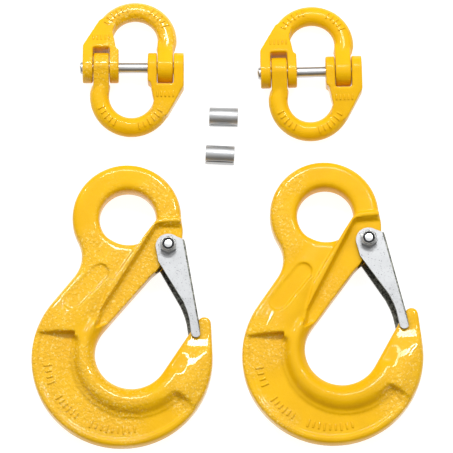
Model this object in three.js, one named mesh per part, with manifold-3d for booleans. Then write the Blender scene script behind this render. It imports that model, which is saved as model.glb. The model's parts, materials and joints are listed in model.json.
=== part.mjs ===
// A kit of chain sling fittings laid out flat: two eye sling hooks with sprung
// sheet-steel latches, two two-part coupling links with their load pins, and the
// two loose slit sleeves that lock the pins. Millimetres, +Z up.
import * as THREE from 'three';
import { mergeVertices } from 'three/addons/utils/BufferGeometryUtils.js';
import Module from 'manifold-3d';

const wasm = await Module();
wasm.setup();

// Sling hook, measured from a point just above the centre of its eye, with its
// middle plane at z = 0.
const eyeBore = { x: 0, y: -1.6, r: 14.9 };
const eyeFlatDistance = 13.8;
const eyeFlatLean = -36.9;
const eyeOuter = { x: -0.5, y: -1.1, r: 28.95 };
const waist = { x: -42, y: -22.5, r: 17.75 };
const bowlOuter = { x: -2.6, y: -78, r: 47.8 };
const bowlInner = { x: 2.5, y: -75.2, r: 19.5 };
const ribOuter = { x: 3.6, y: -77.6, r: 32.3 };
const noseTip = { x: 40.7, y: -59, r: 3.6 };
const pivot = { x: 21.6, y: -17.7 };
const lugRadius = 6.2;
const bodyHalf = 6.6;
const flangeHalf = 4.8;
const ribHalf = 9.5;
const lugHalf = 4.2;
const noseHalf = 4.6;
const throatAngle = 49.5;
const noseAngle = 56.7;
const pocketRadius = 4.9;
const pocketGap = 0.7;
const hookRest = ribHalf;

// Latch, bolt and spring, measured from the pivot.
const sheet = 1.5;
const latchInner = 5.25;
const latchOuter = latchInner + sheet;
const boltRadius = 2.5;
const runningGap = 0.1;
const boltEnd = 11.7;
const nutBase = latchOuter + 0.15;
const nutHeight = 5;
const nutAcrossFlats = 8;
const springWire = 0.35;
const springRadius = 3.7;
const springLow = 1.6;
const springHigh = 4.72;
const springStart = -38;
const springEnd = 220 + 720;
const fixedLeg = 15;
const movingLeg = 20.4;
const boltHeadRadius = 4.4;
const nutCollarRadius = 3.65;
const insertRadius = 2.95;
const insertSeatRadius = 3.05;

// Coupling link, measured from the pin's axis, with the pin along X.
const linkHalf = 8.2;
const barRadius = 5.2;
const forkOuterX = 27.1;
const slotOuterX = 21.6;
const slotInnerX = 12.7;
const forkInnerX = 7.7;
const slotDepth = 9.6;
const tongueInnerX = 13.2;
const tongueOuterX = 21.1;
const archMiddle = { x: 0.9, y: 15.4, r: 17.2 };
const pinRadius = 3.25;
const pinWaistRadius = 2.85;
const pinChamfer = 0.7;
const pinProud = 1.6;
const pinRecess = 0.6;
const linkRest = 8.25;

// Locking sleeve.
const sleeveLength = 15.3;
const sleeveRadius = 5.1;
const sleeveBore = 3.2;
const sleeveSlit = 0.7;
const sleeveRoll = 158;

const yellow = { color: 0xf6b81c, roughness: 0.3, metalness: 0 };
const zinc = { color: 0xc9cdd2, roughness: 0.35, metalness: 1 };
const brightZinc = { color: 0xe4e7ea, roughness: 0.3, metalness: 0.9 };
const nylon = { color: 0x101012, roughness: 0.6, metalness: 0 };
const springSteel = { color: 0x3b3a38, roughness: 0.45, metalness: 1 };

const degrees = (angle) => THREE.MathUtils.degToRad(angle);

// Points of an arc about a centre, from one angle to another, both in degrees.
function arc(centre, from, to, steps) {
  const points = [];
  for (let i = 0; i <= steps; i += 1) {
    const a = degrees(from + ((to - from) * i) / steps);
    points.push([centre.x + centre.r * Math.cos(a), centre.y + centre.r * Math.sin(a)]);
  }
  return points;
}

function outline(points) {
  return new THREE.Shape(points.map(([x, y]) => new THREE.Vector2(x, y)));
}

// A flat piece between two heights, with its edges rounded by `round`.
function plate(points, low, high, round = 0, segments = 2, hole = null) {
  const shape = outline(points);
  if (hole) shape.holes.push(new THREE.Path(hole.map(([x, y]) => new THREE.Vector2(x, y))));
  const geometry = new THREE.ExtrudeGeometry(shape, {
    depth: high - low - 2 * round,
    bevelEnabled: round > 0,
    bevelThickness: round,
    bevelSize: round,
    bevelOffset: -round,
    bevelSegments: segments,
    curveSegments: 1,
  });
  geometry.translate(0, 0, low + round);
  return geometry;
}

function cylinder(radius, low, high, sides = 24) {
  const geometry = new THREE.CylinderGeometry(radius, radius, high - low, sides);
  geometry.rotateX(Math.PI / 2);
  geometry.translate(0, 0, (low + high) / 2);
  return geometry;
}

// A closed skin through rings of points that all have the same count.
function loft(rings) {
  const count = rings[0].length;
  const positions = rings.flat(2);
  const faces = [];
  for (let i = 0; i + 1 < rings.length; i += 1) {
    for (let j = 0; j < count; j += 1) {
      const a = i * count + j;
      const b = i * count + ((j + 1) % count);
      faces.push(a, b, b + count, a, b + count, a + count);
    }
  }
  const last = (rings.length - 1) * count;
  for (let j = 1; j + 1 < count; j += 1) {
    faces.push(0, j + 1, j, last, last + j, last + j + 1);
  }
  const geometry = new THREE.BufferGeometry();
  geometry.setAttribute('position', new THREE.Float32BufferAttribute(positions, 3));
  geometry.setIndex(faces);
  return geometry;
}

function signedVolume(positions, triangles) {
  const corner = (i) => new THREE.Vector3().fromArray(positions, 3 * triangles[i]);
  let total = 0;
  for (let i = 0; i < triangles.length; i += 3) {
    total += corner(i).dot(corner(i + 1).cross(corner(i + 2))) / 6;
  }
  return total;
}

// A solid from a closed skin, which may face in or out.
function solid(geometry) {
  const bare = geometry.clone();
  bare.deleteAttribute('normal');
  bare.deleteAttribute('uv');
  const merged = mergeVertices(bare, 1e-4);
  const vertProperties = new Float32Array(merged.attributes.position.array);
  const triVerts = new Uint32Array(merged.index.array);
  if (signedVolume(vertProperties, triVerts) < 0) triVerts.reverse();
  return new wasm.Manifold(new wasm.Mesh({ numProp: 3, vertProperties, triVerts }));
}

function geometryOf(body) {
  const { vertProperties, triVerts } = body.getMesh();
  const geometry = new THREE.BufferGeometry();
  geometry.setAttribute('position', new THREE.BufferAttribute(new Float32Array(vertProperties), 3));
  geometry.setIndex(new THREE.BufferAttribute(new Uint32Array(triVerts), 1));
  geometry.computeVertexNormals();
  return geometry;
}

const join = (...geometries) => geometries.map(solid).reduce((a, b) => a.add(b));
const cut = (body, ...geometries) => geometries.map(solid).reduce((a, b) => a.subtract(b), body);

// Cuts a piece from the front, and its mirror image from the back.
function cutBothSides(body, geometry) {
  const back = geometry.clone();
  back.scale(1, 1, -1);
  return cut(body, geometry, back);
}

// ---- Sling hook body ----

function hookOutline() {
  const throatEnd = [13, -32.7];
  return [
    [29.3, -7.5],
    ...arc(eyeOuter, 0, 209, 20),
    ...arc(waist, 29 - 12, -41, 5),
    ...arc(bowlOuter, 139, 365, 26),
    ...arc(noseTip, 0, noseAngle + 90, 5),
    ...arc(bowlInner, noseAngle - 90, throatAngle - 270, 16),
    throatEnd,
    ...arc({ ...pivot, r: lugRadius }, -53, 5, 4),
    [29, -12],
  ];
}

// The eye's bore is round but for one flat on the latch side.
function eyeHole() {
  const half = THREE.MathUtils.radToDeg(Math.acos(eyeFlatDistance / eyeBore.r));
  return arc(eyeBore, eyeFlatLean + half, eyeFlatLean + 360 - half, 24);
}

// One ring of an oval section that spans two points in plan.
function ovalRing(inner, outer, half, count = 12) {
  const ring = [];
  for (let i = 0; i < count; i += 1) {
    const a = (2 * Math.PI * i) / count;
    const u = (1 + Math.cos(a)) / 2;
    const z = half * Math.sin(a);
    ring.push([inner[0] + (outer[0] - inner[0]) * u, inner[1] + (outer[1] - inner[1]) * u, z]);
  }
  return ring;
}

// The domed shank between the eye and the bowl.
function shankCrown() {
  return loft([
    ovalRing([9, -22], [-24, -20], 6.4),
    ovalRing([0, -34], [-30, -32], 7.2),
    ovalRing([-8, -48], [-40, -46], 8),
    ovalRing([-14, -62], [-43, -62], 8.8),
    ovalRing([-16.5, -72], [-34, -74], 9.3),
  ]);
}

// The thick round rib that carries the load around the bowl.
function bowlRib() {
  const rings = [];
  const steps = 15;
  for (let i = 0; i <= steps; i += 1) {
    const angle = 160 + (i * 180) / steps;
    const [inner] = arc({ ...bowlInner, r: bowlInner.r + 0.4 }, angle, angle, 1);
    const [outer] = arc(ribOuter, angle, angle, 1);
    const half = i === steps ? ribHalf - 3 : ribHalf;
    rings.push(ovalRing(inner, outer, half));
  }
  return loft(rings);
}

// The thin crescent flange outside the rib is cut down from the full body.
function crescent() {
  const inner = arc({ ...ribOuter, r: ribOuter.r - 4 }, 317, 163, 14);
  const points = [[-60, -65], [-60, -135], [20, -135], [43, -112], [30, -100], ...inner, [-34, -65]];
  return plate(points, flangeHalf, 14);
}

// The recess in which the latch's cheeks swing, with a sloping wall on three sides.
function latchRecess() {
  const wall = [[-14.6, -62], [-12.3, -52.7], [14.3, -10], [17.4, -6.2], [60, -6.2], [60, -30], [34, -40]];
  const slope = 2;
  const geometry = new THREE.ExtrudeGeometry(outline(wall), {
    depth: 6,
    bevelThickness: slope,
    bevelSize: slope,
    bevelOffset: -slope / 2,
    bevelSegments: 1,
    curveSegments: 1,
  });
  geometry.translate(0, 0, lugHalf + slope);
  return geometry;
}

function recessRidge() {
  const points = [
    [28.6, -2], [18.5, -2], [15.2, -3.4], [9, -11.6], [-9.7, -39], [-13.2, -51],
    [-12.3, -52.7], [14.3, -10], [17.4, -6.2], [28.6, -6.2],
  ];
  return plate(points, -7.9, 7.9);
}

function obround(a, b, r, low, high) {
  const lean = THREE.MathUtils.radToDeg(Math.atan2(b[1] - a[1], b[0] - a[0]));
  const points = [
    ...arc({ x: a[0], y: a[1], r }, lean + 90, lean + 270, 8),
    ...arc({ x: b[0], y: b[1], r }, lean - 90, lean + 90, 8),
  ];
  return plate(points, low, high);
}

// A wedge that thins the nose, so that the latch's prongs pass either side of it.
function noseWedge() {
  const profile = [[-50, noseHalf], [-70, noseHalf], [-90, 9.6], [-90, 14], [-50, 14]];
  const geometry = new THREE.ExtrudeGeometry(outline(profile), { depth: 36, bevelEnabled: false });
  geometry.rotateX(Math.PI / 2);
  geometry.rotateZ(Math.PI / 2);
  geometry.translate(16, 0, 0);
  return geometry;
}

// The spring's coil sits in a round pocket, and its fixed leg in a groove.
function springGroove() {
  const lean = degrees(springStart - 90);
  const [start] = arc({ ...pivot, r: springRadius }, springStart, springStart, 1);
  const height = 10;
  const along = 9;
  const geometry = new THREE.BoxGeometry(24, 1.7, height);
  geometry.rotateZ(lean);
  geometry.translate(
    start[0] + along * Math.cos(lean),
    start[1] + along * Math.sin(lean),
    springLow - pocketGap + height / 2,
  );
  return geometry;
}

function hookBody() {
  const bore = cylinder(boltRadius + runningGap, -20, 20, 24);
  bore.translate(pivot.x, pivot.y, 0);
  const pocket = cylinder(pocketRadius, springLow - pocketGap, 12, 24);
  pocket.translate(pivot.x, pivot.y, 0);
  const panelEnds = [[-14.5, -32.3], [-29, -47.7]];
  let body = solid(plate(hookOutline(), -bodyHalf, bodyHalf, 3, 2, eyeHole()));
  body = body.add(solid(shankCrown())).add(solid(recessRidge()));
  body = cutBothSides(body, crescent());
  body = body.add(solid(bowlRib()));
  body = cutBothSides(body, latchRecess());
  body = cutBothSides(body, obround(...panelEnds, 4.8, 6.7, 12));
  body = cutBothSides(body, noseWedge());
  return geometryOf(cut(body, bore, pocket, springGroove()));
}

// ---- Latch ----

const latchEdgeTop = [9, 1.5];
const latchEdgeEnd = [16, -37.7];

function cheekOutline() {
  return [
    ...arc({ x: 0, y: 0, r: 6.7 }, 52, 200, 8),
    [-5.2, -8.3], [8.2, -30.5], [10.2, -35.6], [11.3, -39.8],
    ...arc({ x: 14.65, y: -47.5, r: 2.35 }, 180, 350, 5),
    [15.6, -38.6], latchEdgeEnd, latchEdgeTop, [7.6, 4],
  ];
}

function latchBody() {
  const lean = Math.atan2(latchEdgeEnd[1] - latchEdgeTop[1], latchEdgeEnd[0] - latchEdgeTop[0]);
  const inward = [sheet * Math.sin(lean), -sheet * Math.cos(lean)];
  const web = [
    latchEdgeTop, [latchEdgeTop[0] + inward[0], latchEdgeTop[1] + inward[1]],
    [latchEdgeEnd[0] + inward[0], latchEdgeEnd[1] + inward[1]], latchEdgeEnd,
  ];
  const body = join(
    plate(cheekOutline(), latchInner, latchOuter),
    plate(cheekOutline(), -latchOuter, -latchInner),
    plate(web, -latchOuter, latchOuter),
  );
  return geometryOf(cut(body, cylinder(boltRadius + runningGap, -20, 20, 24)));
}

// ---- Bolt, lock nut, insert and spring ----

function latchBolt() {
  const headBase = -latchOuter - 0.1;
  const profile = [
    [0, boltEnd], [boltRadius - 0.3, boltEnd], [boltRadius, boltEnd - 0.4], [boltRadius, headBase],
    [boltHeadRadius, headBase], [boltHeadRadius, headBase - 1.2], [3.4, headBase - 2.3],
    [1.6, headBase - 2.6], [1.3, headBase - 1.2], [0, headBase - 1.2],
  ];
  const points = profile.map(([x, y]) => new THREE.Vector2(x, y)).reverse();
  const geometry = new THREE.LatheGeometry(points, 24);
  geometry.rotateX(Math.PI / 2);
  return geometryOf(solid(geometry));
}

function lockNut() {
  const hexRadius = nutAcrossFlats / 2 / Math.cos(Math.PI / 6);
  const top = nutBase + nutHeight;
  const hex = cylinder(hexRadius, nutBase, top - 1.5, 6);
  const collar = nutCollarRadius;
  const profile = [
    [0, nutBase], [4.1, nutBase], [4.75, nutBase + 0.6], [4.75, top - 2], [collar, top - 1.3],
    [collar, top - 0.4], [collar - 0.35, top], [0, top],
  ];
  const rounded = new THREE.LatheGeometry(profile.map(([x, y]) => new THREE.Vector2(x, y)), 24);
  rounded.rotateX(Math.PI / 2);
  const crown = cylinder(collar, top - 2.4, top, 24);
  const body = solid(hex).add(solid(crown)).intersect(solid(rounded));
  const bore = cylinder(boltRadius + runningGap, nutBase - 1, top + 1, 24);
  const seat = cylinder(insertSeatRadius, top - 1.2, top + 1, 24);
  return geometryOf(cut(body, bore, seat));
}

function lockInsert() {
  const low = nutBase + nutHeight - 1.05;
  const high = nutBase + nutHeight - 0.15;
  const ring = solid(cylinder(insertRadius, low, high, 24));
  return geometryOf(cut(ring, cylinder(boltRadius + runningGap, low - 1, high + 1, 24)));
}

// A torsion spring: two straight tangent legs and a helix between them.
function springPath() {
  const legPoint = (angle, lean, length, z) => new THREE.Vector3(
    springRadius * Math.cos(degrees(angle)) + length * Math.cos(degrees(lean)),
    springRadius * Math.sin(degrees(angle)) + length * Math.sin(degrees(lean)),
    z,
  );
  const fixedLean = springStart - 90;
  const movingLean = springEnd + 90;
  const points = [
    legPoint(springStart, fixedLean, fixedLeg, springLow),
    legPoint(springStart, fixedLean, 0.4 * fixedLeg, springLow),
  ];
  const steps = 32;
  for (let i = 0; i <= steps; i += 1) {
    const angle = springStart + ((springEnd - springStart) * i) / steps;
    points.push(legPoint(angle, 0, 0, springLow + ((springHigh - springLow) * i) / steps));
  }
  points.push(
    legPoint(springEnd, movingLean, 0.4 * movingLeg, springHigh),
    legPoint(springEnd, movingLean, movingLeg, springHigh),
  );
  return points;
}

function latchSpring() {
  const points = springPath();
  const rings = points.map((point, i) => {
    const before = points[Math.max(i - 1, 0)];
    const after = points[Math.min(i + 1, points.length - 1)];
    const along = after.clone().sub(before).normalize();
    const side = new THREE.Vector3(0, 0, 1).cross(along).normalize();
    const up = along.clone().cross(side);
    return Array.from({ length: 6 }, (_, k) => {
      const a = (k * Math.PI) / 3;
      const offset = side.clone().multiplyScalar(Math.cos(a)).addScaledVector(up, Math.sin(a));
      return point.clone().addScaledVector(offset, springWire).toArray();
    });
  });
  return geometryOf(solid(loft(rings)));
}

// ---- Coupling link ----

function alongX(geometry) {
  geometry.rotateX(Math.PI / 2);
  geometry.rotateZ(Math.PI / 2);
  return geometry;
}

// A slab that runs along X, from its outline in the Y-Z plane.
function sideSlab(points, from, to) {
  const geometry = new THREE.ExtrudeGeometry(outline(points), { depth: to - from, bevelEnabled: false });
  geometry.rotateX(Math.PI / 2);
  geometry.rotateZ(Math.PI / 2);
  geometry.translate(from, 0, 0);
  return geometry;
}

// The side of a fork or tongue: round about the pin, then tapering towards the arch.
function taperedSide(tip) {
  return [...arc({ x: 0, y: 0, r: linkHalf }, 85, 275, 12), ...tip];
}

function archBar() {
  const section = ([x, y], lean) => Array.from({ length: 10 }, (_, k) => {
    const a = (2 * Math.PI * k) / 10;
    const across = barRadius * Math.cos(a);
    return [x + across * Math.cos(lean), y + across * Math.sin(lean), barRadius * Math.sin(a)];
  });
  const rings = [section([tongueInnerX + 4.1, slotDepth + 0.2], 0)];
  const [first, last, steps] = [-4, 168, 12];
  arc(archMiddle, first, last, steps).forEach((point, i) => {
    rings.push(section(point, degrees(first + ((last - first) * i) / steps)));
  });
  return loft(rings);
}

function halfLink() {
  const fork = [
    [-forkOuterX, -12], [-forkInnerX, -12], [-forkInnerX, 8.4], [-9.2, 8.9], [-10.2, 14.5], [-11.2, 19],
    [-9.5, 25], [-14.5, 32], [-19.2, 26.5], [-forkOuterX, 10.6],
  ];
  const forkSide = taperedSide([[27, -4.6], [32, -3.4], [32, 3.4], [27, 4.6]]);
  const forkPlan = solid(plate(fork, -linkHalf, linkHalf, 1, 1));
  const forkBlock = forkPlan.intersect(solid(sideSlab(forkSide, -40, 10)));
  const neck = slotDepth + 5;
  const tongueSide = taperedSide([[neck, -3.6], [neck, 3.6]]);
  const tongue = sideSlab(tongueSide, tongueInnerX, tongueOuterX);
  const slot = new THREE.BoxGeometry(slotOuterX - slotInnerX, 2 * slotDepth + 10, 30);
  slot.translate(-(slotOuterX + slotInnerX) / 2, -5, 0);
  const bore = alongX(cylinder(pinRadius + runningGap, -40, 40, 24));
  const body = forkBlock.subtract(solid(slot)).add(solid(archBar())).add(solid(tongue));
  return geometryOf(body.subtract(solid(bore)));
}

function loadPin() {
  const left = -forkOuterX - pinProud;
  const right = forkOuterX - pinRecess;
  const waistEnd = forkInnerX;
  const profile = [
    [0, left], [pinRadius - pinChamfer, left], [pinRadius, left + pinChamfer], [pinRadius, -waistEnd - 0.4],
    [pinWaistRadius, -waistEnd], [pinWaistRadius, waistEnd], [pinRadius, waistEnd + 0.4],
    [pinRadius, right - pinChamfer], [pinRadius - pinChamfer, right], [0, right],
  ].map(([x, y]) => new THREE.Vector2(x, y));
  const geometry = new THREE.LatheGeometry(profile, 24);
  geometry.rotateX(Math.PI / 2);
  return geometryOf(solid(alongX(geometry)));
}

function lockingSleeve() {
  const ends = [-sleeveLength / 2, sleeveLength / 2];
  const tube = cut(solid(cylinder(sleeveRadius, ...ends, 28)), cylinder(sleeveBore, -20, 20, 28));
  const slit = new THREE.BoxGeometry(10, sleeveSlit, 40);
  slit.translate(5, 0, 0);
  const geometry = geometryOf(tube.subtract(solid(slit)));
  return alongX(geometry);
}

// ---- Assembly ----

function piece(name, geometry, look) {
  const mesh = new THREE.Mesh(geometry, new THREE.MeshStandardMaterial(look));
  mesh.name = name;
  return mesh;
}

const shapes = {
  hook: hookBody(),
  latch: latchBody(),
  bolt: latchBolt(),
  nut: lockNut(),
  insert: lockInsert(),
  spring: latchSpring(),
  half: halfLink(),
  pin: loadPin(),
  sleeve: lockingSleeve(),
};

function slingHook(side, x, y, turn) {
  const hook = new THREE.Group();
  hook.position.set(x, y, hookRest);
  hook.rotation.z = degrees(turn);
  const latch = new THREE.Group();
  latch.position.set(pivot.x, pivot.y, 0);
  latch.add(
    piece(`${side}_latch`, shapes.latch, brightZinc),
    piece(`${side}_latch_bolt`, shapes.bolt, zinc),
    piece(`${side}_lock_nut`, shapes.nut, zinc),
    piece(`${side}_nut_insert`, shapes.insert, nylon),
    piece(`${side}_latch_spring`, shapes.spring, springSteel),
  );
  hook.add(piece(`${side}_hook_body`, shapes.hook, yellow), latch);
  return hook;
}

// Both halves of a link droop from the pin until their arches touch the surface.
function couplingLink(side, x, y, turn) {
  const droop = Math.asin((linkRest - barRadius) / (archMiddle.y + archMiddle.r));
  const link = new THREE.Group();
  link.position.set(x, y, linkRest);
  link.rotation.z = degrees(turn);
  const upper = piece(`${side}_upper_half_link`, shapes.half, yellow);
  upper.rotation.x = -droop;
  const lowerTurn = new THREE.Group();
  lowerTurn.rotation.z = Math.PI;
  const lower = piece(`${side}_lower_half_link`, shapes.half, yellow);
  lower.rotation.x = -droop;
  lowerTurn.add(lower);
  link.add(upper, lowerTurn, piece(`${side}_load_pin`, shapes.pin, zinc));
  return link;
}

function sleeve(name, x, y, turn) {
  const laid = new THREE.Group();
  laid.position.set(x, y, sleeveRadius);
  laid.rotation.z = degrees(turn);
  const mesh = piece(name, shapes.sleeve, zinc);
  mesh.rotation.x = degrees(sleeveRoll);
  laid.add(mesh);
  return laid;
}

const kit = new THREE.Group();
kit.add(
  slingHook('left', -52.4, 1.3, 0),
  slingHook('right', 52.2, 2.9, 4.6),
  couplingLink('left', -50, 84.9, 0),
  couplingLink('right', 45.3, 82.6, 1.6),
  sleeve('upper_sleeve', -1.6, 58.3, -1.5),
  sleeve('lower_sleeve', -3.5, 37.1, -2.8),
);

// The origin is the middle of the kit's footprint, on the surface it lies on.
const whole = new THREE.Group();
whole.add(kit);
whole.updateMatrixWorld(true);
const box = new THREE.Box3().setFromObject(kit, true);
kit.position.set(-(box.min.x + box.max.x) / 2, -(box.min.y + box.max.y) / 2, -box.min.z);
whole.updateMatrixWorld(true);

export default whole;
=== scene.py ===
import json
import math

import bmesh
import bpy
from mathutils import Matrix, Vector


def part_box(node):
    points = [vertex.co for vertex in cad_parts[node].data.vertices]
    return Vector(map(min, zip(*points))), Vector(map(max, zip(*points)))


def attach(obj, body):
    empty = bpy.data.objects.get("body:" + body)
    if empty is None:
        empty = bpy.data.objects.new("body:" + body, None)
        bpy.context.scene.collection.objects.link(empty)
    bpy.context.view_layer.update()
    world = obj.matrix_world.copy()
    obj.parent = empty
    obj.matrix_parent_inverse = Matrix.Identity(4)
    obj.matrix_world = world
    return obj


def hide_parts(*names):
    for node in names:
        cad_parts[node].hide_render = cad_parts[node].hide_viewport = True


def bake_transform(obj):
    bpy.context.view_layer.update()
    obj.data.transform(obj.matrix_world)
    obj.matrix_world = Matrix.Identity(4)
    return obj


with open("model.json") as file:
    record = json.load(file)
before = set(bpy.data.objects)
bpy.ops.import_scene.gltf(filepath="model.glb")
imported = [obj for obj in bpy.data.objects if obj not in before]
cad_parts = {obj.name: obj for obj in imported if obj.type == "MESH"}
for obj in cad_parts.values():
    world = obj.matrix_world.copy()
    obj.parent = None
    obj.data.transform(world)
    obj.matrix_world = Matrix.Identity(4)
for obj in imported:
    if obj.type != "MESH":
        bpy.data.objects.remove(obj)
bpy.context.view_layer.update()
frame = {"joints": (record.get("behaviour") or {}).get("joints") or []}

joints = {joint["name"]: joint for joint in frame["joints"]}
millimetre = 0.001


beyond = 20  # cuts reach this far past both faces of a piece
above = 16  # higher than the top of any forging
holeSides = 40
sharpTurn = 0.9  # radians between two faces that meet at a corner
solverTries = 5
hair = 0.0013  # millimetres


# outlines, slabs and skins are all drawn in millimetres
def onlyVerts(items):
    return [item for item in items if isinstance(item, bmesh.types.BMVert)]


def arc(centre, radius, start, end, steps):
    return {"centre": centre, "radius": radius, "start": start, "end": end, "steps": steps}


def onCircle(centre, radius, angle):
    turn = math.radians(angle)
    return (centre[0] + radius * math.cos(turn), centre[1] + radius * math.sin(turn))


def drawOutline(bm, parts, z=0.0):
    # corners are (x, y) pairs, and arcs are spun from their first point
    chains = []
    for part in parts:
        if isinstance(part, dict):
            x, y = onCircle(part["centre"], part["radius"], part["start"])
            first = bm.verts.new((x, y, z))
            spun = bmesh.ops.spin(
                bm, geom=[first], cent=(*part["centre"], z), axis=(0, 0, 1), steps=part["steps"],
                angle=math.radians(part["end"] - part["start"]))
            chains.append((first, onlyVerts(spun["geom_last"])[0]))
        else:
            corner = bm.verts.new((*part, z))
            chains.append((corner, corner))
    for (_, last), (first, _) in zip(chains, chains[1:] + chains[:1]):
        bm.edges.new((last, first))
    bmesh.ops.remove_doubles(bm, verts=bm.verts, dist=1e-4)
    return bmesh.ops.contextual_create(bm, geom=bm.edges[:])["faces"]


def slab(parts, low, high):
    bm = bmesh.new()
    faces = drawOutline(bm, parts, low)
    raised = bmesh.ops.extrude_face_region(bm, geom=faces)["geom"]
    bmesh.ops.translate(bm, vec=(0, 0, high - low), verts=onlyVerts(raised))
    bmesh.ops.recalc_face_normals(bm, faces=bm.faces)
    return bm


def rounded(bm, offset, segments, edges):
    bmesh.ops.bevel(
        bm, geom=edges, offset=offset, segments=segments, profile=0.5, affect="EDGES", material=-1,
        clamp_overlap=True)
    return bm


def rim(bm, z):
    # the level edges between a flat end at height z and the walls
    level = [e for e in bm.edges if all(abs(v.co.z - z) < 1e-4 for v in e.verts)]
    return [e for e in level if e.calc_face_angle(0) > sharpTurn]


def post(radius, low, high, sides=48, x=0.0, y=0.0):
    bm = bmesh.new()
    bmesh.ops.create_cone(
        bm, cap_ends=True, segments=sides, radius1=radius, radius2=radius, depth=high - low,
        matrix=Matrix.Translation((x, y, (low + high) / 2)))
    return bm


def block(size, centre, turn=0.0):
    bm = bmesh.new()
    place = Matrix.Translation(centre) @ Matrix.Rotation(turn, 4, "Z") @ Matrix.Diagonal((*size, 1))
    bmesh.ops.create_cube(bm, size=1, matrix=place)
    return bm


def ovalSkin(stations, sides=24):
    # rings of oval section across a path, each spanning an inner and an outer point, bridged into a skin
    bm = bmesh.new()
    loops = []
    for inner, outer, half in stations:
        inner, outer = Vector((*inner, 0)), Vector((*outer, 0))
        across = outer - inner
        width = across.length / 2
        lean = math.atan2(across.y, across.x)
        place = Matrix.Translation((inner + outer) / 2) @ Matrix.Rotation(lean, 4, "Z")
        place = place @ Matrix.Rotation(math.pi / 2, 4, "X") @ Matrix.Diagonal((width, half, 1, 1))
        made = bmesh.ops.create_circle(bm, cap_ends=False, segments=sides, radius=1, matrix=place)
        loops.append([e for e in bm.edges if all(v in made["verts"] for v in e.verts)])
    for first, second in zip(loops, loops[1:]):
        bmesh.ops.bridge_loops(bm, edges=first + second)
    bmesh.ops.contextual_create(bm, geom=loops[0])
    bmesh.ops.contextual_create(bm, geom=loops[-1])
    bmesh.ops.recalc_face_normals(bm, faces=bm.faces)
    return bm


def mirroredAbout(bm):
    # the same shape on the other face of the forging
    copy = bm.copy()
    bmesh.ops.scale(copy, vec=(1, 1, -1), verts=copy.verts)
    bmesh.ops.reverse_faces(copy, faces=copy.faces)
    return copy


def asObject(bm, name):
    mesh = bpy.data.meshes.new(name)
    bm.to_mesh(mesh)
    bm.free()
    made = bpy.data.objects.new(name, mesh)
    bpy.context.scene.collection.objects.link(made)
    return made


def settle(made):
    # makes the modifiers' result the object's own mesh
    bpy.context.view_layer.update()
    graph = bpy.context.evaluated_depsgraph_get()
    mesh = bpy.data.meshes.new_from_object(made.evaluated_get(graph))
    made.modifiers.clear()
    made.data = mesh
    return made


def present(made):
    # a piece that has come out empty stops the script, rather than going missing from the scene
    if not made.data.polygons:
        raise RuntimeError("nothing is left of " + made.name)
    return made


def carve(made, operation, *tools):
    # now and then the exact solver gives an empty mesh, so it tries again with the tool moved a hair
    for bm in tools:
        tool = asObject(bm, "tool")
        uncut = made.data
        for attempt in range(solverTries):
            made.data = uncut
            tool.location.x = attempt * hair
            change = made.modifiers.new("carve", "BOOLEAN")
            change.operation = operation
            change.solver = "EXACT"
            change.object = tool
            settle(made)
            if made.data.polygons:
                break
            print("the solver left nothing of", made.name, "on try", attempt + 1)
        present(made)
        bpy.data.objects.remove(tool)
    return made


def forge(made, voxel, passes):
    # fuses the drawn solids into one skin and softens every corner as a die and paint do
    skin = made.modifiers.new("skin", "REMESH")
    skin.mode = "VOXEL"
    skin.voxel_size = voxel
    soften = made.modifiers.new("soften", "SMOOTH")
    soften.factor = 0.5
    soften.iterations = passes
    return present(settle(made))


def stand(shape, name, place, body, finishes, replacing, sharpAngle=None):
    # a copy of a finished shape at its place in metres, riding on its body
    mesh = shape.data.copy()
    mesh.transform(place)
    for finish in finishes:
        mesh.materials.append(finish)
    piece = bpy.data.objects.new(name, mesh)
    bpy.context.scene.collection.objects.link(piece)
    mesh.polygons.foreach_set("use_smooth", [True] * len(mesh.polygons))
    if sharpAngle is not None:
        mesh.set_sharp_from_angle(angle=math.radians(sharpAngle))
    if body:
        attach(piece, body)
    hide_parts(replacing)
    return piece


# a Signal is one output socket, and a Net is one material's node tree
class Signal:
    def __init__(self, net, socket):
        self.net = net
        self.socket = socket

    def worked(self, operation, first, second):
        return self.net.node("ShaderNodeMath", {"operation": operation}, {0: first, 1: second})

    def __add__(self, other):
        return self.worked("ADD", self, other)

    def __sub__(self, other):
        return self.worked("SUBTRACT", self, other)

    def __rsub__(self, other):
        return self.worked("SUBTRACT", other, self)

    def __mul__(self, other):
        return self.worked("MULTIPLY", self, other)

    __radd__ = __add__
    __rmul__ = __mul__


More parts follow.
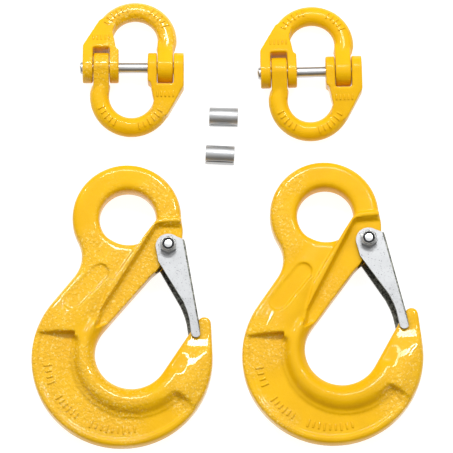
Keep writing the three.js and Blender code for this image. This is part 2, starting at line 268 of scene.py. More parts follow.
class Net:
    def __init__(self, name):
        self.material = bpy.data.materials.new(name)
        self.material.use_nodes = True
        self.tree = self.material.node_tree
        self.shader = self.tree.nodes["Principled BSDF"]
        self.coords = self.node("ShaderNodeTexCoord", output="Object")

    def node(self, kind, settings=None, inputs=None, output=0):
        made = self.tree.nodes.new(kind)
        for key, value in (settings or {}).items():
            setattr(made, key, value)
        for key, value in (inputs or {}).items():
            self.feed(made.inputs[key], value)
        return Signal(self, made.outputs[output])

    def feed(self, socket, value):
        if isinstance(value, Signal):
            self.tree.links.new(value.socket, socket)
        else:
            socket.default_value = value

    def noise(self, scale, detail=2.0, roughness=0.5, distortion=0.0, coords=None):
        return self.node("ShaderNodeTexNoise", None, {
            "Vector": coords or self.coords, "Scale": scale, "Detail": detail, "Roughness": roughness,
            "Distortion": distortion})

    def step(self, signal, low, high):
        return self.node("ShaderNodeMapRange", {"interpolation_type": "SMOOTHSTEP"}, {
            "Value": signal, "From Min": low, "From Max": high})

    def blended(self, mask, first, second):
        return self.node("ShaderNodeMix", {"data_type": "RGBA"}, {0: mask, 6: first, 7: second}, output=2)

    def bump(self, height, strength, distance):
        return self.node("ShaderNodeBump", None, {
            "Height": height, "Strength": strength, "Distance": distance})

    def surface(self, **values):
        for key, value in values.items():
            self.feed(self.shader.inputs[key.replace("_", " ")], value)
        return self.material


enamel = dict(
    colour=(0.77, 0.42, 0.0015, 1), deep=(0.66, 0.28, 0.001, 1), pale=(0.82, 0.46, 0.002, 1),
    paintedGlintColour=(1.0, 0.80, 0.24, 1), hammerScale=600, paintedGlintScale=850, grainScale=2100,
    patchScale=26, patchShift=0.1046, specular=0.08, coatRoughness=0.05, relief=0.0007)


def yellowEnamel():
    net = Net("yellowEnamel")
    moved = net.node("ShaderNodeMapping", None, {
        "Vector": net.coords, "Location": (enamel["patchShift"], 0, 0)})
    patch = net.step(net.noise(enamel["patchScale"], 1.0, coords=moved), 0.48, 0.60)  # rough as forged
    hammer = net.noise(enamel["hammerScale"], 1.0, 0.5, 0.4)
    grain = net.noise(enamel["grainScale"], 2.0, 0.6)
    drift = net.noise(60, 3.0)
    colour = net.blended(net.step(drift, 0.35, 0.7), enamel["colour"], enamel["pale"])
    colour = net.blended(net.step(grain, 0.58, 0.8) * 0.35, colour, enamel["deep"])
    # painted highlight: pale glints drawn into the enamel's colour, most of them in the rough forged patches
    paintedGlint = net.step(net.noise(enamel["paintedGlintScale"], 1.0, 0.5, 0.6), 0.58, 0.68)
    colour = net.blended(paintedGlint * (patch * 0.42 + 0.02), colour, enamel["paintedGlintColour"])
    height = hammer * (patch * 0.9 + 0.1) + grain * 0.05
    return net.surface(
        Base_Color=colour, Roughness=grain * 0.16 + 0.28, Coat_Weight=patch * 0.5 + 0.2,
        Specular_IOR_Level=enamel["specular"], Coat_Roughness=enamel["coatRoughness"],
        Normal=net.bump(height, 0.9, enamel["relief"]))


def brightZinc():
    net = Net("brightZinc")
    cloud = net.noise(140, 4.0, 0.6)
    speck = net.step(net.noise(1500, 2.0, 0.5), 0.64, 0.70)
    stain = net.step(net.noise(300, 4.0, 0.65), 0.58, 0.70)
    colour = net.blended(cloud, (0.32, 0.327, 0.335, 1), (0.41, 0.417, 0.425, 1))
    colour = net.blended(stain * 0.4, colour, (0.33, 0.335, 0.34, 1))
    colour = net.blended(speck * 0.8, colour, (0.08, 0.08, 0.085, 1))
    scratch = net.noise(900, 5.0, 0.7, 1.5)
    return net.surface(
        Base_Color=colour, Metallic=0.8 - speck * 0.4, Roughness=cloud * 0.16 + 0.3 + speck * 0.2,
        Normal=net.bump(scratch, 0.25, 0.0002))


# dark streaked finish for the latch: the sheet's own cut edges, and painted shade on the inner faces between
# the cheeks and along the fold
def edgeAndPaintedShade():
    net = Net("edgeAndPaintedShade")
    streak = net.noise(700, 4.0, 0.65, 0.8)
    pit = net.step(net.noise(1300, 3.0, 0.6), 0.5, 0.7)
    colour = net.blended(net.step(streak, 0.35, 0.65), (0.03, 0.03, 0.026, 1), (0.24, 0.245, 0.21, 1))
    colour = net.blended(pit * 0.6, colour, (0.03, 0.03, 0.028, 1))
    return net.surface(
        Base_Color=colour, Metallic=0.85, Roughness=streak * 0.2 + 0.35, Normal=net.bump(streak, 0.5, 0.0003))


def turnedZinc(name, low, high, dull):
    net = Net(name)
    cloud = net.noise(160, 3.0, 0.55)
    haze = net.step(net.noise(600, 3.0, 0.6), 0.5, 0.75)
    colour = net.blended(cloud, low, high)
    colour = net.blended(haze * 0.25, colour, (0.46, 0.47, 0.48, 1))
    return net.surface(
        Base_Color=colour, Metallic=1.0, Roughness=cloud * 0.1 + dull, Normal=net.bump(haze, 0.08, 0.0001))


def darkZinc():
    net = Net("darkZinc")
    cloud = net.noise(500, 4.0, 0.6)
    pit = net.step(net.noise(1400, 3.0, 0.6), 0.55, 0.7)
    colour = net.blended(cloud, (0.26, 0.265, 0.26, 1), (0.55, 0.555, 0.55, 1))
    colour = net.blended(pit * 0.6, colour, (0.08, 0.08, 0.08, 1))
    return net.surface(
        Base_Color=colour, Metallic=1.0, Roughness=cloud * 0.14 + 0.22,
        Normal=net.bump(cloud + pit, 0.2, 0.0002))


def blackNylon():
    net = Net("blackNylon")
    grain = net.noise(1600, 3.0)
    colour = net.blended(grain, (0.006, 0.006, 0.007, 1), (0.02, 0.02, 0.022, 1))
    return net.surface(Base_Color=colour, Roughness=grain * 0.2 + 0.45, Normal=net.bump(grain, 0.2, 0.0001))


def oiledSpring():
    net = Net("oiledSpring")
    streak = net.noise(1100, 3.0, 0.6)
    colour = net.blended(streak, (0.05, 0.047, 0.043, 1), (0.16, 0.15, 0.14, 1))
    return net.surface(
        Base_Color=colour, Metallic=0.9, Roughness=streak * 0.2 + 0.3, Normal=net.bump(streak, 0.2, 0.0001))


looks = {
    "yellow": yellowEnamel(), "bright": brightZinc(), "edge": edgeAndPaintedShade(), "dark": darkZinc(),
    "turned": turnedZinc("turnedZinc", (0.50, 0.51, 0.52, 1), (0.60, 0.605, 0.61, 1), 0.28),
    "rolled": turnedZinc("rolledZinc", (0.40, 0.41, 0.42, 1), (0.52, 0.525, 0.53, 1), 0.38),
    "nylon": blackNylon(), "spring": oiledSpring()}
print("materials ready")


# the sling hook is drawn about its eye, lying level, with its back the mirror of its front
hook = dict(
    eyeCentre=(-0.5, -1.1), eyeRadius=28.95, boreCentre=(0, -1.6), boreRadius=14.9, boreFlat=13.8,
    waistCentre=(-42, -22.5), waistRadius=17.75, bowlCentre=(-2.6, -78), bowlRadius=47.8,
    throatCentre=(2.5, -75.2), throatRadius=19.5, throatAngle=49.5, noseAngle=56.7,
    ribCentre=(3.6, -77.6), ribRadius=32.3, noseCentre=(40.7, -59), noseRadius=3.6,
    pivot=(21.6, -17.7), lugRadius=6.2, boltHole=2.6, pocket=4.9, pocketFloor=0.9, pocketTop=14,
    half=6.6, flange=4.8, floor=4.0, rib=9.5, lug=4.2, nose=4.6, rimWidth=3.3,  # half thicknesses first
    panel=6.1, panelEnds=((-14.5, -32.3), (-29, -47.7)), panelRadius=4.8,
    edgeRound=3.4, mouthDepth=3.9, mouthFlare=4.2, ridgeRound=0.9, ridgeHigh=8.0, draft=1.07,
    dashInset=8.6, voxel=0.7, softPasses=20, fineVoxel=0.55, finePasses=4)


def hookOutline():
    h = hook
    return [
        (29.3, -7.5),
        arc(h["eyeCentre"], h["eyeRadius"], 0, 209, 40),
        arc(h["waistCentre"], h["waistRadius"], 17, -41, 10),
        arc(h["bowlCentre"], h["bowlRadius"], 139, 365, 52),
        arc(h["noseCentre"], h["noseRadius"], 0, h["noseAngle"] + 90, 10),
        arc(h["throatCentre"], h["throatRadius"], h["noseAngle"] - 90, h["throatAngle"] - 270, 32),
        (13, -32.7),
        arc(h["pivot"], h["lugRadius"], -53, 5, 8),
        (29, -12)]


def eyeBore(ease=0.0):
    half = math.degrees(math.acos(hook["boreFlat"] / hook["boreRadius"]))
    flat = -36.9
    return [arc(hook["boreCentre"], hook["boreRadius"] + ease, flat + half, flat + 360 - half, 48)]


def flaredBore(half, flare, segments):
    # the eye's bore with its mouth rolled outwards on both faces
    centre = Vector(hook["boreCentre"])
    bm = slab(eyeBore(), -half, half)
    for side in (-1, 1):
        ends = [face for face in bm.faces if face.normal.z * side > 0.9]
        for i in range(segments):
            turn = math.pi / 2 * (i + 1) / segments
            before = math.pi / 2 * i / segments
            grow = flare * (math.cos(before) - math.cos(turn))
            rise = flare * (math.sin(turn) - math.sin(before))
            spread = bmesh.ops.extrude_face_region(bm, geom=ends)["geom"]
            bmesh.ops.delete(bm, geom=ends, context="FACES_ONLY")
            ends = [item for item in spread if isinstance(item, bmesh.types.BMFace)]
            moved = {v for face in ends for v in face.verts}
            for v in moved:
                v.co += (v.co.to_2d() - centre).normalized().to_3d() * grow
            bmesh.ops.translate(bm, vec=(0, 0, side * rise), verts=list(moved))
    bmesh.ops.recalc_face_normals(bm, faces=bm.faces)
    return bm


def shankCrown():
    # the domed shank, as wide as the forging, running down into the bowl
    return ovalSkin([
        ((12, -14), (-23, -12), 5.6), ((9, -22), (-23.4, -20), 6.9), ((0, -34), (-27, -32), 7.9),
        ((-8, -48), (-37, -46), 8.7), ((-14, -62), (-46, -62), 9.3), ((-16.5, -74), (-49, -76), 9.4)], 32)


def noseCrown():
    # the rib widens to the whole width of the nose and thins towards the tip
    return ovalSkin([
        ((14, -92), (22, -110), 9.2), ((18.5, -87), (32, -110), 9.2), ((22, -82), (42, -98), 8.6),
        ((26, -75), (46.5, -86), 7.6), ((31, -68), (47, -72), 6.4), ((37, -60), (45.5, -60), 5.0)], 32)


def bowlRib():
    stations = []
    for angle in range(138, 337, 6):
        inner = onCircle(hook["throatCentre"], hook["throatRadius"] + 0.3, angle)
        outer = onCircle(hook["ribCentre"], hook["ribRadius"], angle)
        rise = min(1.0, (angle - 126) / 30)
        fade = max(0.0, (angle - 312) / 24)
        stations.append((inner, outer, hook["rib"] - 1.2 * (1 - rise) - 1.0 * fade))
    return ovalSkin(stations, 32)


def flangeStep():
    # leaves the thin flange between the rib and the outer edge
    inner = arc(hook["ribCentre"], hook["ribRadius"] - 4, 317, 163, 24)
    return slab(
        [(-60, -64.5), (-60, -135), (20, -135), (43, -112), (29, -99), inner, (-34, -64.5)],
        hook["flange"], above)


def flangeFloor():
    # sinks the flange a little inside its rim
    outer = arc(hook["bowlCentre"], hook["bowlRadius"] - hook["rimWidth"], 162.3, 321, 40)
    inner = arc(hook["ribCentre"], hook["ribRadius"] + 0.8, 317, 156.7, 24)
    return slab([outer, inner], hook["floor"], above)


def latchRecess():
    floor = [
        (-14.6, -61), (-12.6, -53), (13.4, -10.6), (14.6, -8.4), (16.6, -7), (60, -7), (60, -30), (34, -40)]
    bm = slab(floor, hook["lug"], hook["lug"] + 3)
    top = [v for v in bm.verts if v.co.z > hook["lug"] + 1]
    middle = Vector((22, -34, 0))
    draft = hook["draft"]  # the walls lean outwards, as a die leaves them
    bmesh.ops.scale(bm, vec=(draft, draft, 1), space=Matrix.Translation(-middle), verts=top)
    cap = [face for face in bm.faces if face.normal.z > 0.9]
    raised = bmesh.ops.extrude_face_region(bm, geom=cap)["geom"]
    bmesh.ops.delete(bm, geom=cap, context="FACES_ONLY")
    bmesh.ops.translate(bm, vec=(0, 0, 8), verts=onlyVerts(raised))
    bmesh.ops.recalc_face_normals(bm, faces=bm.faces)
    return bm


def recessRidge():
    high = hook["ridgeHigh"]
    bm = slab([
        (28.4, -2.2), (18.5, -2.2), (15.2, -3.4), (9, -11.6), (-9.7, -39), (-14.4, -53), (-12.3, -54.5),
        (16, -10), (19, -5), (28.4, -5)], -high, high)
    return rounded(bm, hook["ridgeRound"], 3, rim(bm, high) + rim(bm, -high))


def obround(ends, radius, low, high):
    (ax, ay), (bx, by) = ends
    lean = math.degrees(math.atan2(by - ay, bx - ax))
    return slab([
        arc((ax, ay), radius, lean + 90, lean + 270, 14), arc((bx, by), radius, lean - 90, lean + 90, 14)],
        low, high)


def noseWedge():
    # thins the nose towards its tip, where the latch's cheeks pass
    bm = bmesh.new()
    profile = [
        (-50, hook["nose"]), (-66, hook["nose"]), (-72, 5.5), (-78, 6.9), (-85, 8.2), (-93, 9.1), (-104, 9.7),
        (-104, above), (-50, above)]
    corners = [bm.verts.new((16, y, z)) for y, z in profile]
    face = bm.faces.new(corners)
    swept = bmesh.ops.extrude_face_region(bm, geom=[face])["geom"]
    bmesh.ops.translate(bm, vec=(40, 0, 0), verts=onlyVerts(swept))
    bmesh.ops.recalc_face_normals(bm, faces=bm.faces)
    return bm


def springGroove():
    # the fixed leg leaves the coil's pocket along this groove
    lean = math.radians(-128)
    x, y = onCircle(hook["pivot"], 3.7, -38)
    return block((24, 1.7, 10), (x + 9 * math.cos(lean), y + 9 * math.sin(lean), 0.9 + 5), lean)


def dashes(places, width, height):
    # plain raised dashes, each with its middle, its turn in plan and its length
    bm = bmesh.new()
    for x, y, z, turn, length in places:
        place = Matrix.Translation((x, y, z)) @ Matrix.Rotation(math.radians(turn), 4, "Z")
        place = place @ Matrix.Diagonal((length, width, height, 1))
        made = bmesh.ops.create_cube(bm, size=1, matrix=place)
        edges = {e for v in made["verts"] for e in v.link_edges}
        bmesh.ops.bevel(
            bm, geom=list(edges), offset=0.22, segments=2, profile=0.5, affect="EDGES", material=-1)
    return bm


def flangeMarks():
    places = []
    for start, end, count in ((186, 200, 4), (213, 233, 6), (246, 280, 9)):
        for i in range(count):
            angle = start + (end - start) * i / (count - 1)
            x, y = onCircle(hook["bowlCentre"], hook["bowlRadius"] - hook["dashInset"], angle)
            places.append((x, y, hook["floor"], angle, 3.4 if i % 3 else 4.4))
    return dashes(places, 0.95, 1.1)


def makeHookBody():
    half, (px, py) = hook["half"], hook["pivot"]
    plate = slab(hookOutline(), -half, half)
    rounded(plate, hook["edgeRound"], 5, rim(plate, half) + rim(plate, -half))
    body = asObject(plate, "hookShape")
    carve(body, "DIFFERENCE", flaredBore(half - hook["mouthDepth"], hook["mouthFlare"], 5))
    carve(body, "UNION", shankCrown(), noseCrown())
    carve(body, "INTERSECT", slab(hookOutline(), -beyond, beyond))
    carve(body, "DIFFERENCE", slab(eyeBore(0.05), -beyond, beyond))  # eased, so no walls lie in one plane
    for bm in (flangeStep(), noseWedge()):
        carve(body, "DIFFERENCE", mirroredAbout(bm), bm)
    carve(body, "UNION", bowlRib())
    forge(body, hook["voxel"], hook["softPasses"])
    carve(body, "UNION", recessRidge())
    panel = obround(hook["panelEnds"], hook["panelRadius"], hook["panel"], above)
    for bm in (latchRecess(), panel, flangeFloor()):
        carve(body, "DIFFERENCE", mirroredAbout(bm), bm)
    forge(body, hook["fineVoxel"], hook["finePasses"])
    marks = flangeMarks()
    carve(body, "UNION", mirroredAbout(marks), marks)
    boltHole = post(hook["boltHole"], -beyond, beyond, holeSides, px, py)
    pocket = post(hook["pocket"], hook["pocketFloor"], hook["pocketTop"], holeSides, px, py)
    return carve(body, "DIFFERENCE", boltHole, pocket, springGroove())


hookShape = makeHookBody()
print("hook body", len(hookShape.data.polygons), "faces")


# the latch is drawn about its bolt, and its fold runs from edgeTop to edgeEnd
latch = dict(
    inner=5.25, outer=6.75, sheet=1.5, headRadius=6.7, boltHole=2.6, edgeTop=(9, 1.5), edgeEnd=(16, -37.7),
    prongCentre=(14.65, -47.5), prongRadius=2.35, bend=2.2, paintedShadeWidth=1.15, burr=0.22,
    lean=1.6, leanStart=-4, leanFull=-14)  # how far the back cheek stands out past the front one


def latchOutline():
    return [
        arc((0, 0), latch["headRadius"], 52, 200, 20),
        (-5.2, -8.3), (8.2, -30.5), (10.2, -35.6), (11.3, -39.8),
        arc(latch["prongCentre"], latch["prongRadius"], 180, 350, 12),
        latch["edgeEnd"], latch["edgeTop"], (8.3, 3.5)]


def makeLatch():
    top, end = Vector(latch["edgeTop"]), Vector(latch["edgeEnd"])
    along = (end - top).normalized()
    inward = Vector((along.y, -along.x))
    outer, sheet = latch["outer"], inward * latch["sheet"]
    blank = slab(latchOutline(), -outer, outer)
    folds = [
        e for e in rim(blank, outer) + rim(blank, -outer)
        if all(abs((v.co.xy - top).dot(inward)) < 0.05 for v in e.verts)
        and all(-0.1 < (v.co.xy - top).dot(along) < 40.5 for v in e.verts)]
    bmesh.ops.bevel(
        blank, geom=folds, offset=latch["bend"], segments=6, profile=0.5, affect="EDGES", material=-1)
    # splits the cheeks where the painted shade along the fold ends
    bmesh.ops.bisect_plane(
        blank, geom=blank.verts[:] + blank.edges[:] + blank.faces[:],
        plane_co=(*(top + inward * latch["paintedShadeWidth"]), 0), plane_no=(*inward, 0))
    shape = asObject(blank, "latchShape")
    hollow = slab(
        [tuple(top + sheet), tuple(end + sheet), tuple(end - inward * 5), (30, -60), (-20, -60), (-20, 20),
         (30, 20), tuple(top - inward * 5)], -latch["inner"], latch["inner"])
    carve(shape, "DIFFERENCE", hollow, post(latch["boltHole"], -beyond, beyond, holeSides))
    burr = shape.modifiers.new("burr", "BEVEL")
    burr.width = latch["burr"]
    burr.segments = 2
    burr.limit_method = "ANGLE"
    burr.angle_limit = math.radians(50)
    settle(shape)
    for v in shape.data.vertices:
        share = (latch["leanStart"] - v.co.y) / (latch["leanStart"] - latch["leanFull"])
        v.co.x -= latch["lean"] * min(1.0, max(0.0, share)) * (0.5 - v.co.z / (2 * outer))
    # outer faces of the cheeks and web keep the bright zinc; the rest takes the dark finish, which is the cut
    # edges' own colour and painted shade on the inner faces and the front cheek's band along the fold
    for face in shape.data.polygons:
        outerCheek = abs(face.normal.z) > 0.95 and abs(face.center.z) > outer - 0.1
        outerWeb = face.normal.xy.dot(inward) < -0.99
        paintedShadeOnFold = (face.center.xy - top).dot(inward) < latch["paintedShadeWidth"] and face.center.z > 0
        face.material_index = 0 if (outerCheek and not paintedShadeOnFold) or outerWeb else 1
    return shape


# turned pieces are drawn about their own axis
def lathe(profile, steps=48):
    # profile runs as (radius, height) pairs, and starts and ends on the axis or closes on itself
    bm = bmesh.new()
    points = [bm.verts.new((radius, 0, height)) for radius, height in profile]
    for first, second in zip(points, points[1:]):
        bm.edges.new((first, second))
    if profile[0][0] > 0:
        bm.edges.new((points[-1], points[0]))
    bmesh.ops.spin(
        bm, geom=bm.verts[:] + bm.edges[:], cent=(0, 0, 0), axis=(0, 0, 1), angle=2 * math.pi, steps=steps,
        use_merge=True)
    bmesh.ops.remove_doubles(bm, verts=bm.verts, dist=1e-4)
    bmesh.ops.recalc_face_normals(bm, faces=bm.faces)
    return bm


def alongX(bm):
    turned = Matrix(((0, 0, 1, 0), (1, 0, 0, 0), (0, 1, 0, 0), (0, 0, 0, 1)))
    bmesh.ops.transform(bm, matrix=turned, verts=bm.verts)
    return bm


def quarter(radius, height, size, start, end, steps=4):
    # points of a rounded corner in a turned profile
    return [
        (radius + size * math.cos(math.radians(a)), height + size * math.sin(math.radians(a)))
        for a in (start + (end - start) * i / steps for i in range(steps + 1))]


bolt = dict(radius=2.5, end=11.7, point=0.45, headRadius=4.4, headHeight=2.6, under=6.85, socket=1.4)


def makeBolt():
    b = bolt
    base = -b["under"]
    low = base - b["headHeight"]
    tip = b["radius"] - b["point"]
    head = b["headRadius"]
    stem = lathe([
        (0, b["end"] + 0.15), (tip * 0.6, b["end"] + 0.1), (tip, b["end"]),
        (b["radius"], b["end"] - b["point"]), (b["radius"], base), (head - 0.2, base),
        *quarter(head - 0.4, base - 0.6, 0.4, 30, -40), (head - 1.0, low + 0.55), (head - 2.0, low + 0.1),
        (0, low)])
    shape = asObject(stem, "boltShape")
    carve(shape, "DIFFERENCE", post(b["socket"], low - 1, low + 1.4, 6))
    # painted shade: the chamfered point takes the black nylon finish, so it reads as the dark ring round the
    # bolt's end
    for face in shape.data.polygons:
        face.material_index = 1 if b["end"] - b["point"] < face.center.z < b["end"] else 0
    return shape


nut = dict(base=6.9, height=5.0, flats=8.0, collar=3.65, collarRound=0.3, seat=3.05, bore=2.6, hexHeight=3.5)


def makeNut():
    n = nut
    top = n["base"] + n["height"]
    corner = n["flats"] / 2 / math.cos(math.pi / 6)
    shoulder = n["base"] + n["hexHeight"]
    hexagon = asObject(post(corner, n["base"], shoulder, 6), "nutShape")
    chamfer = lathe([
        (0, n["base"] - 0.1), (corner - 0.7, n["base"] - 0.1), (corner + 0.3, n["base"] + 0.5),
        (corner + 0.3, shoulder - 0.75), (n["collar"] + 0.1, shoulder + 0.05), (0, shoulder + 0.1)])
    carve(hexagon, "INTERSECT", chamfer)
    soft = n["collarRound"]
    collar = lathe([
        (0, n["base"] + 1), (n["collar"], n["base"] + 1), (n["collar"], top - 0.7),
        *quarter(n["collar"] - soft, top - soft, soft, 0, 90), (0, top)])
    carve(hexagon, "UNION", collar)
    mouth = lathe([
        (0, top - 1.2), (n["seat"], top - 1.2), (n["seat"], top - 0.25), (n["seat"] + 0.3, top + 0.1),
        (0, top + 0.1)])
    return carve(hexagon, "DIFFERENCE", post(n["bore"], n["base"] - 1, top + 1, holeSides), mouth)


insert = dict(inner=2.58, outer=2.98, edge=0.12, deep=1.05, sunk=0.15)


def makeInsert():
    top = nut["base"] + nut["height"]
    low, high = top - insert["deep"], top - insert["sunk"]
    inner, outer, edge = insert["inner"], insert["outer"], insert["edge"]
    return asObject(lathe([
        (inner, low), (outer, low), *quarter(outer - edge, high - edge, edge, 0, 90, 2),
        *quarter(inner + edge, high - edge, edge, 90, 180, 2)]), "insertShape")


spring = dict(
    wire=0.35, radius=3.7, low=1.6, high=4.72, start=-38, end=940, steps=120, fixedLeg=15, movingLeg=20.4)


def makeSpring():
    w = spring
    bm = bmesh.new()
    steps = w["steps"]
    place = Matrix.Rotation(math.radians(w["start"]), 4, "Z") @ Matrix.Translation((w["radius"], 0, w["low"]))
    place = place @ Matrix.Rotation(math.pi / 2, 4, "X")
    made = bmesh.ops.create_circle(bm, cap_ends=False, segments=10, radius=w["wire"], matrix=place)
    firstEdges = bm.edges[:]
    rise = (w["high"] - w["low"]) / steps
    spun = bmesh.ops.spin(
        bm, geom=made["verts"] + firstEdges, cent=(0, 0, 0), axis=(0, 0, 1), dvec=(0, 0, rise),
        angle=math.radians(w["end"] - w["start"]), steps=steps)
    lastEdges = [item for item in spun["geom_last"] if isinstance(item, bmesh.types.BMEdge)]
    ends = ((firstEdges, w["start"] - 90, w["fixedLeg"], -18), (lastEdges, w["end"] + 90, w["movingLeg"], 0))
    for edges, lean, length, hookTurn in ends:
        direction = Vector((math.cos(math.radians(lean)), math.sin(math.radians(lean)), 0))
        for i, share in enumerate((0.25, 0.35, 0.28, 0.12)):
            grown = bmesh.ops.extrude_edge_only(bm, edges=edges)["geom"]
            verts = onlyVerts(grown)
            edges = [item for item in grown if isinstance(item, bmesh.types.BMEdge)
                     and item.verts[0] in verts and item.verts[1] in verts]
            if i == 3:
                direction = Matrix.Rotation(math.radians(hookTurn), 3, "Z") @ direction
            bmesh.ops.translate(bm, vec=direction * length * share, verts=verts)
        bmesh.ops.contextual_create(bm, geom=edges)
    bmesh.ops.recalc_face_normals(bm, faces=bm.faces)
    return asObject(bm, "springShape")


# the coupling link is drawn about its pin, and both its halves are this one forging
link = dict(
    half=8.2, bar=5.2, forkOuter=27.1, slotOuter=21.6, slotInner=12.7, forkInner=7.7, slotDepth=9.6,
    tongueInner=12.95, tongueOuter=21.35, archCentre=(0.9, 15.4), archRadius=17.2, bore=3.35,
    voxel=0.5, passes=11)


def taperedSide(tip, low, high):
    # round about the pin, then tapering towards the arch
    return alongX(slab([arc((0, 0), link["half"], 85, 275, 36), *tip], low, high))


def archBar():
    k = link
    middle = (k["tongueInner"] + k["tongueOuter"]) / 2
    rise = k["slotDepth"] + 0.2
    stations = [((middle - k["bar"] + 0.2, rise), (middle + k["bar"] - 0.2, rise), k["bar"])]
    for angle in range(-4, 169, 6):
        stations.append((
            onCircle(k["archCentre"], k["archRadius"] - k["bar"], angle),
            onCircle(k["archCentre"], k["archRadius"] + k["bar"], angle), k["bar"]))
    return ovalSkin(stations, 28)


def linkMarks():
    k = link
    places = []
    for start, end, count in ((24, 60, 5), (104, 150, 6)):
        for i in range(count):
            angle = start + (end - start) * i / (count - 1)
            x, y = onCircle(k["archCentre"], k["archRadius"] + 0.4, angle)
            places.append((x, y, k["bar"] - 0.1, angle, 3.0 if i % 2 else 3.8))
    places += [(-21.4 + 2.1 * i, 15.4, 6.1, 90, 3.0) for i in range(5)]
    return dashes(places, 0.8, 1.1)


def makeHalfLink():
    k = link
    plan = [
        (-k["forkOuter"], -12), (-k["forkInner"], -12), (-k["forkInner"], 8.4), (-9.2, 8.9), (-10.2, 14.5),
        (-11.2, 19), (-9.5, 25), (-13, 30), (-18.6, 26.2), (-k["forkOuter"], 10.8)]
    forkBlock = asObject(slab(plan, -k["half"], k["half"]), "halfLinkShape")
    carve(forkBlock, "INTERSECT", taperedSide([(27, -4.6), (32, -3.4), (32, 3.4), (27, 4.6)], -40, 10))
    wide, middle = k["slotOuter"] - k["slotInner"], -(k["slotOuter"] + k["slotInner"]) / 2
    carve(forkBlock, "DIFFERENCE", block((wide, 2 * k["slotDepth"] + 10, 30), (middle, -5, 0)))
    neck = k["slotDepth"] + 5
    tongue = taperedSide([(neck, -3.6), (neck, 3.6)], k["tongueInner"], k["tongueOuter"])
    carve(forkBlock, "UNION", archBar(), tongue)
    forge(forkBlock, k["voxel"], k["passes"])
    carve(forkBlock, "UNION", linkMarks())
    return carve(forkBlock, "DIFFERENCE", alongX(post(k["bore"], -40, 40, 48)))


pin = dict(radius=3.25, waist=2.85, waistHalf=7.7, left=-28.7, right=26.5, chamfer=0.7)


def makePin():
    q = pin
    r, c, waistEnd = q["radius"], q["chamfer"], q["waistHalf"]
    return asObject(alongX(lathe([
        (0, q["left"]), (r - c, q["left"]), (r, q["left"] + c), (r, -waistEnd - 0.4), (q["waist"], -waistEnd),
        (q["waist"], waistEnd), (r, waistEnd + 0.4), (r, q["right"] - c), (r - c, q["right"]),
        (0, q["right"])], 64)), "pinShape")


sleeve = dict(length=15.3, radius=5.1, bore=3.2, slit=0.7, edge=0.22)


def makeSleeve():
    s = sleeve
    gap = math.asin(s["slit"] / 2 / s["radius"])
    bm = bmesh.new()
    ends = (-s["length"] / 2, s["length"] / 2)
    corners = [bm.verts.new((r, 0, z)) for r, z in (
        (s["bore"], ends[0]), (s["radius"], ends[0]), (s["radius"], ends[1]), (s["bore"], ends[1]))]
    face = bm.faces.new(corners)
    bmesh.ops.rotate(bm, cent=(0, 0, 0), matrix=Matrix.Rotation(gap, 3, "Z"), verts=bm.verts)
    bmesh.ops.spin(
        bm, geom=[face, *face.edges, *face.verts], cent=(0, 0, 0), axis=(0, 0, 1),
        angle=2 * math.pi - 2 * gap, steps=72)
    bmesh.ops.recalc_face_normals(bm, faces=bm.faces)
    sharp = [e for e in bm.edges if e.calc_face_angle(0) > sharpTurn]
    rounded(bm, s["edge"], 2, sharp)
    return asObject(alongX(bm), "sleeveShape")


shapes = {
    "latch": makeLatch(), "bolt": makeBolt(), "nut": makeNut(), "insert": makeInsert(),
    "spring": makeSpring(), "half": makeHalfLink(), "pin": makePin(), "sleeve": makeSleeve()}
for name, shape in shapes.items():
    print(name, len(shape.data.polygons), "faces")


# everything goes where the frame has it
def mmPlace(position, turn):
    return Matrix.Translation(position) @ Matrix.Rotation(turn, 4, "Z") @ Matrix.Scale(millimetre, 4)


hookTurns = {"left": 0.0, "right": 4.6}
sleeveLay = {"upper": (-1.5, 165), "lower": (-2.8, 151)}  # turn in plan and the slit's turn about the sleeve
cornerAngle = 35  # the turned and pressed pieces keep corners sharper than this

for side, turn in hookTurns.items():
    boltPlace = mmPlace(Vector(joints[side + "_latch_hinge"]["pos_m"]), math.radians(turn))
    px, py = hook["pivot"]
    eyePlace = boltPlace @ Matrix.Translation((-px, -py, 0))
    root, arm = side + "_hook", side + "_latch"
    stand(hookShape, side + "_hook_forging", eyePlace, root, [looks["yellow"]],
          side + "_hook_body")
    stand(shapes["latch"], side + "_latch_pressing", boltPlace, arm,
          [looks["bright"], looks["edge"]], side + "_latch", cornerAngle)
    stand(shapes["bolt"], side + "_button_bolt", boltPlace, root, [looks["turned"], looks["nylon"]],
          side + "_latch_bolt", cornerAngle)
    stand(shapes["nut"], side + "_collar_nut", boltPlace, root, [looks["dark"]],
          side + "_lock_nut", cornerAngle)
    stand(shapes["insert"], side + "_nylon_ring", boltPlace, root, [looks["nylon"]],
          side + "_nut_insert", cornerAngle)
    coil = stand(shapes["spring"], side + "_torsion_spring", boltPlace, None,
                 [looks["spring"]], side + "_latch_spring")
    middle = boltPlace.translation
    low = middle + Vector((0, 0, (spring["low"] + spring["wire"]) * millimetre))
    high = middle + Vector((0, 0, (spring["high"] - spring["wire"]) * millimetre))
    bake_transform(coil)

for side in ("left", "right"):
    joint = joints[side + "_link_swivel"]
    x, y, _ = joint["axis"]
    linkPlace = mmPlace(Vector(joint["pos_m"]), math.atan2(y, x))
    reach = link["archCentre"][1] + link["archRadius"]
    drop = joint["pos_m"][2] / millimetre - link["bar"]
    droop = Matrix.Rotation(-math.asin(drop / reach), 4, "X")  # the arches rest on the floor
    turned = Matrix.Rotation(math.pi, 4, "Z")
    half = shapes["half"]
    stand(half, side + "_upper_forging", linkPlace @ droop, side + "_link_upper",
          [looks["yellow"]], side + "_upper_half_link")
    stand(half, side + "_lower_forging", linkPlace @ turned @ droop, side + "_link_lower",
          [looks["yellow"]], side + "_lower_half_link")
    stand(shapes["pin"], side + "_turned_pin", linkPlace, side + "_pin", [looks["turned"]],
          side + "_load_pin", cornerAngle)

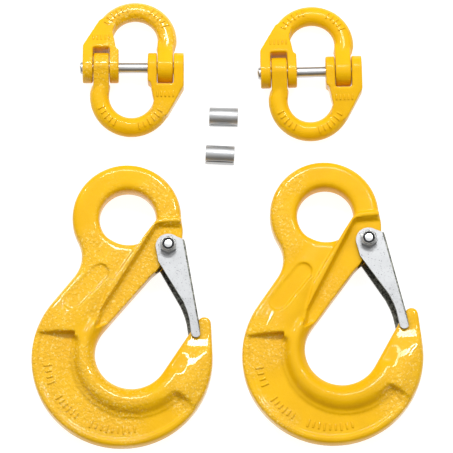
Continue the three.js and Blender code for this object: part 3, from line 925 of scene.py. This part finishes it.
for which, (turn, roll) in sleeveLay.items():
    low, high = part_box(which + "_sleeve")
    lay = mmPlace((low + high) / 2, math.radians(turn)) @ Matrix.Rotation(math.radians(roll), 4, "X")
    stand(shapes["sleeve"], which + "_rolled_sleeve", lay, which + "_sleeve", [looks["rolled"]],
          which + "_sleeve", cornerAngle)

for shape in [hookShape, *shapes.values()]:
    bpy.data.objects.remove(shape)
print("pieces placed")


# floor, light and camera
def paleFloor():
    bm = bmesh.new()
    bmesh.ops.create_grid(bm, x_segments=8, y_segments=8, size=3, matrix=Matrix.Translation((0, 0, -0.0002)))
    floor = asObject(bm, "floor")
    net = Net("paleFloor")
    floor.data.materials.append(net.surface(
        Base_Color=(0.3, 0.3, 0.3, 1), Roughness=0.9, Emission_Color=(1, 1, 1, 1), Emission_Strength=0.88))


def softbox(name, place, size, power):
    lamp = bpy.data.lights.new(name, "AREA")
    lamp.shape = "RECTANGLE"
    lamp.size, lamp.size_y = size
    lamp.energy = power
    made = bpy.data.objects.new(name, lamp)
    made.rotation_euler = (-Vector(place)).to_track_quat("-Z", "Y").to_euler()
    made.location = place
    bpy.context.scene.collection.objects.link(made)


studio = dict(
    skirting=(0.1, 0.5), cameraWall=(-0.62, -0.36),
    dark=(0.20, 0.175, 0.14, 1), light=(1, 1, 1, 1), strength=0.88)


def studioWorld():
    # white walls and ceiling, with a dark skirting and a dark wall below and behind the camera
    world = bpy.data.worlds.new("studio")
    bpy.context.scene.world = world
    world.use_nodes = True
    tree = world.node_tree
    coords = tree.nodes.new("ShaderNodeTexCoord")
    split = tree.nodes.new("ShaderNodeSeparateXYZ")
    tree.links.new(coords.outputs["Generated"], split.inputs[0])
    product = tree.nodes.new("ShaderNodeMath")
    product.operation = "MULTIPLY"
    for socket, axis, span in zip(product.inputs, "YZ", (studio["cameraWall"], studio["skirting"])):
        ramp = tree.nodes.new("ShaderNodeMapRange")
        ramp.interpolation_type = "SMOOTHSTEP"
        ramp.inputs["From Min"].default_value, ramp.inputs["From Max"].default_value = span
        tree.links.new(split.outputs[axis], ramp.inputs["Value"])
        tree.links.new(ramp.outputs[0], socket)
    blend = tree.nodes.new("ShaderNodeMix")
    blend.data_type = "RGBA"
    blend.inputs[6].default_value = studio["dark"]
    blend.inputs[7].default_value = studio["light"]
    tree.links.new(product.outputs[0], blend.inputs[0])
    background = tree.nodes["Background"]
    tree.links.new(blend.outputs[2], background.inputs["Color"])
    background.inputs["Strength"].default_value = studio["strength"]


view = dict(target=(-0.0005, -0.0012, 0.004), elevation=74, distance=2.5, frameWidth=0.241, sensor=36)


def setCamera():
    lens = bpy.data.cameras.new("camera")
    lens.sensor_width = view["sensor"]
    lens.lens = view["sensor"] * view["distance"] / view["frameWidth"]
    camera = bpy.data.objects.new("camera", lens)
    lean = math.radians(view["elevation"])
    camera.location = Vector(view["target"]) + Vector((0, -math.cos(lean), math.sin(lean))) * view["distance"]
    camera.rotation_euler = (math.radians(90) - lean, 0, 0)
    bpy.context.scene.collection.objects.link(camera)
    bpy.context.scene.camera = camera


paleFloor()
softbox("leftKey", (-0.55, 0.62, 0.85), (0.11, 0.11), 2.1)
softbox("rightKey", (0.42, 0.45, 1.0), (0.11, 0.11), 1.9)
softbox("topStrip", (0, 0.62, 1.05), (0.5, 0.11), 6.2)
studioWorld()
setCamera()
bpy.context.scene.view_settings.view_transform = "Standard"
print("stage ready")
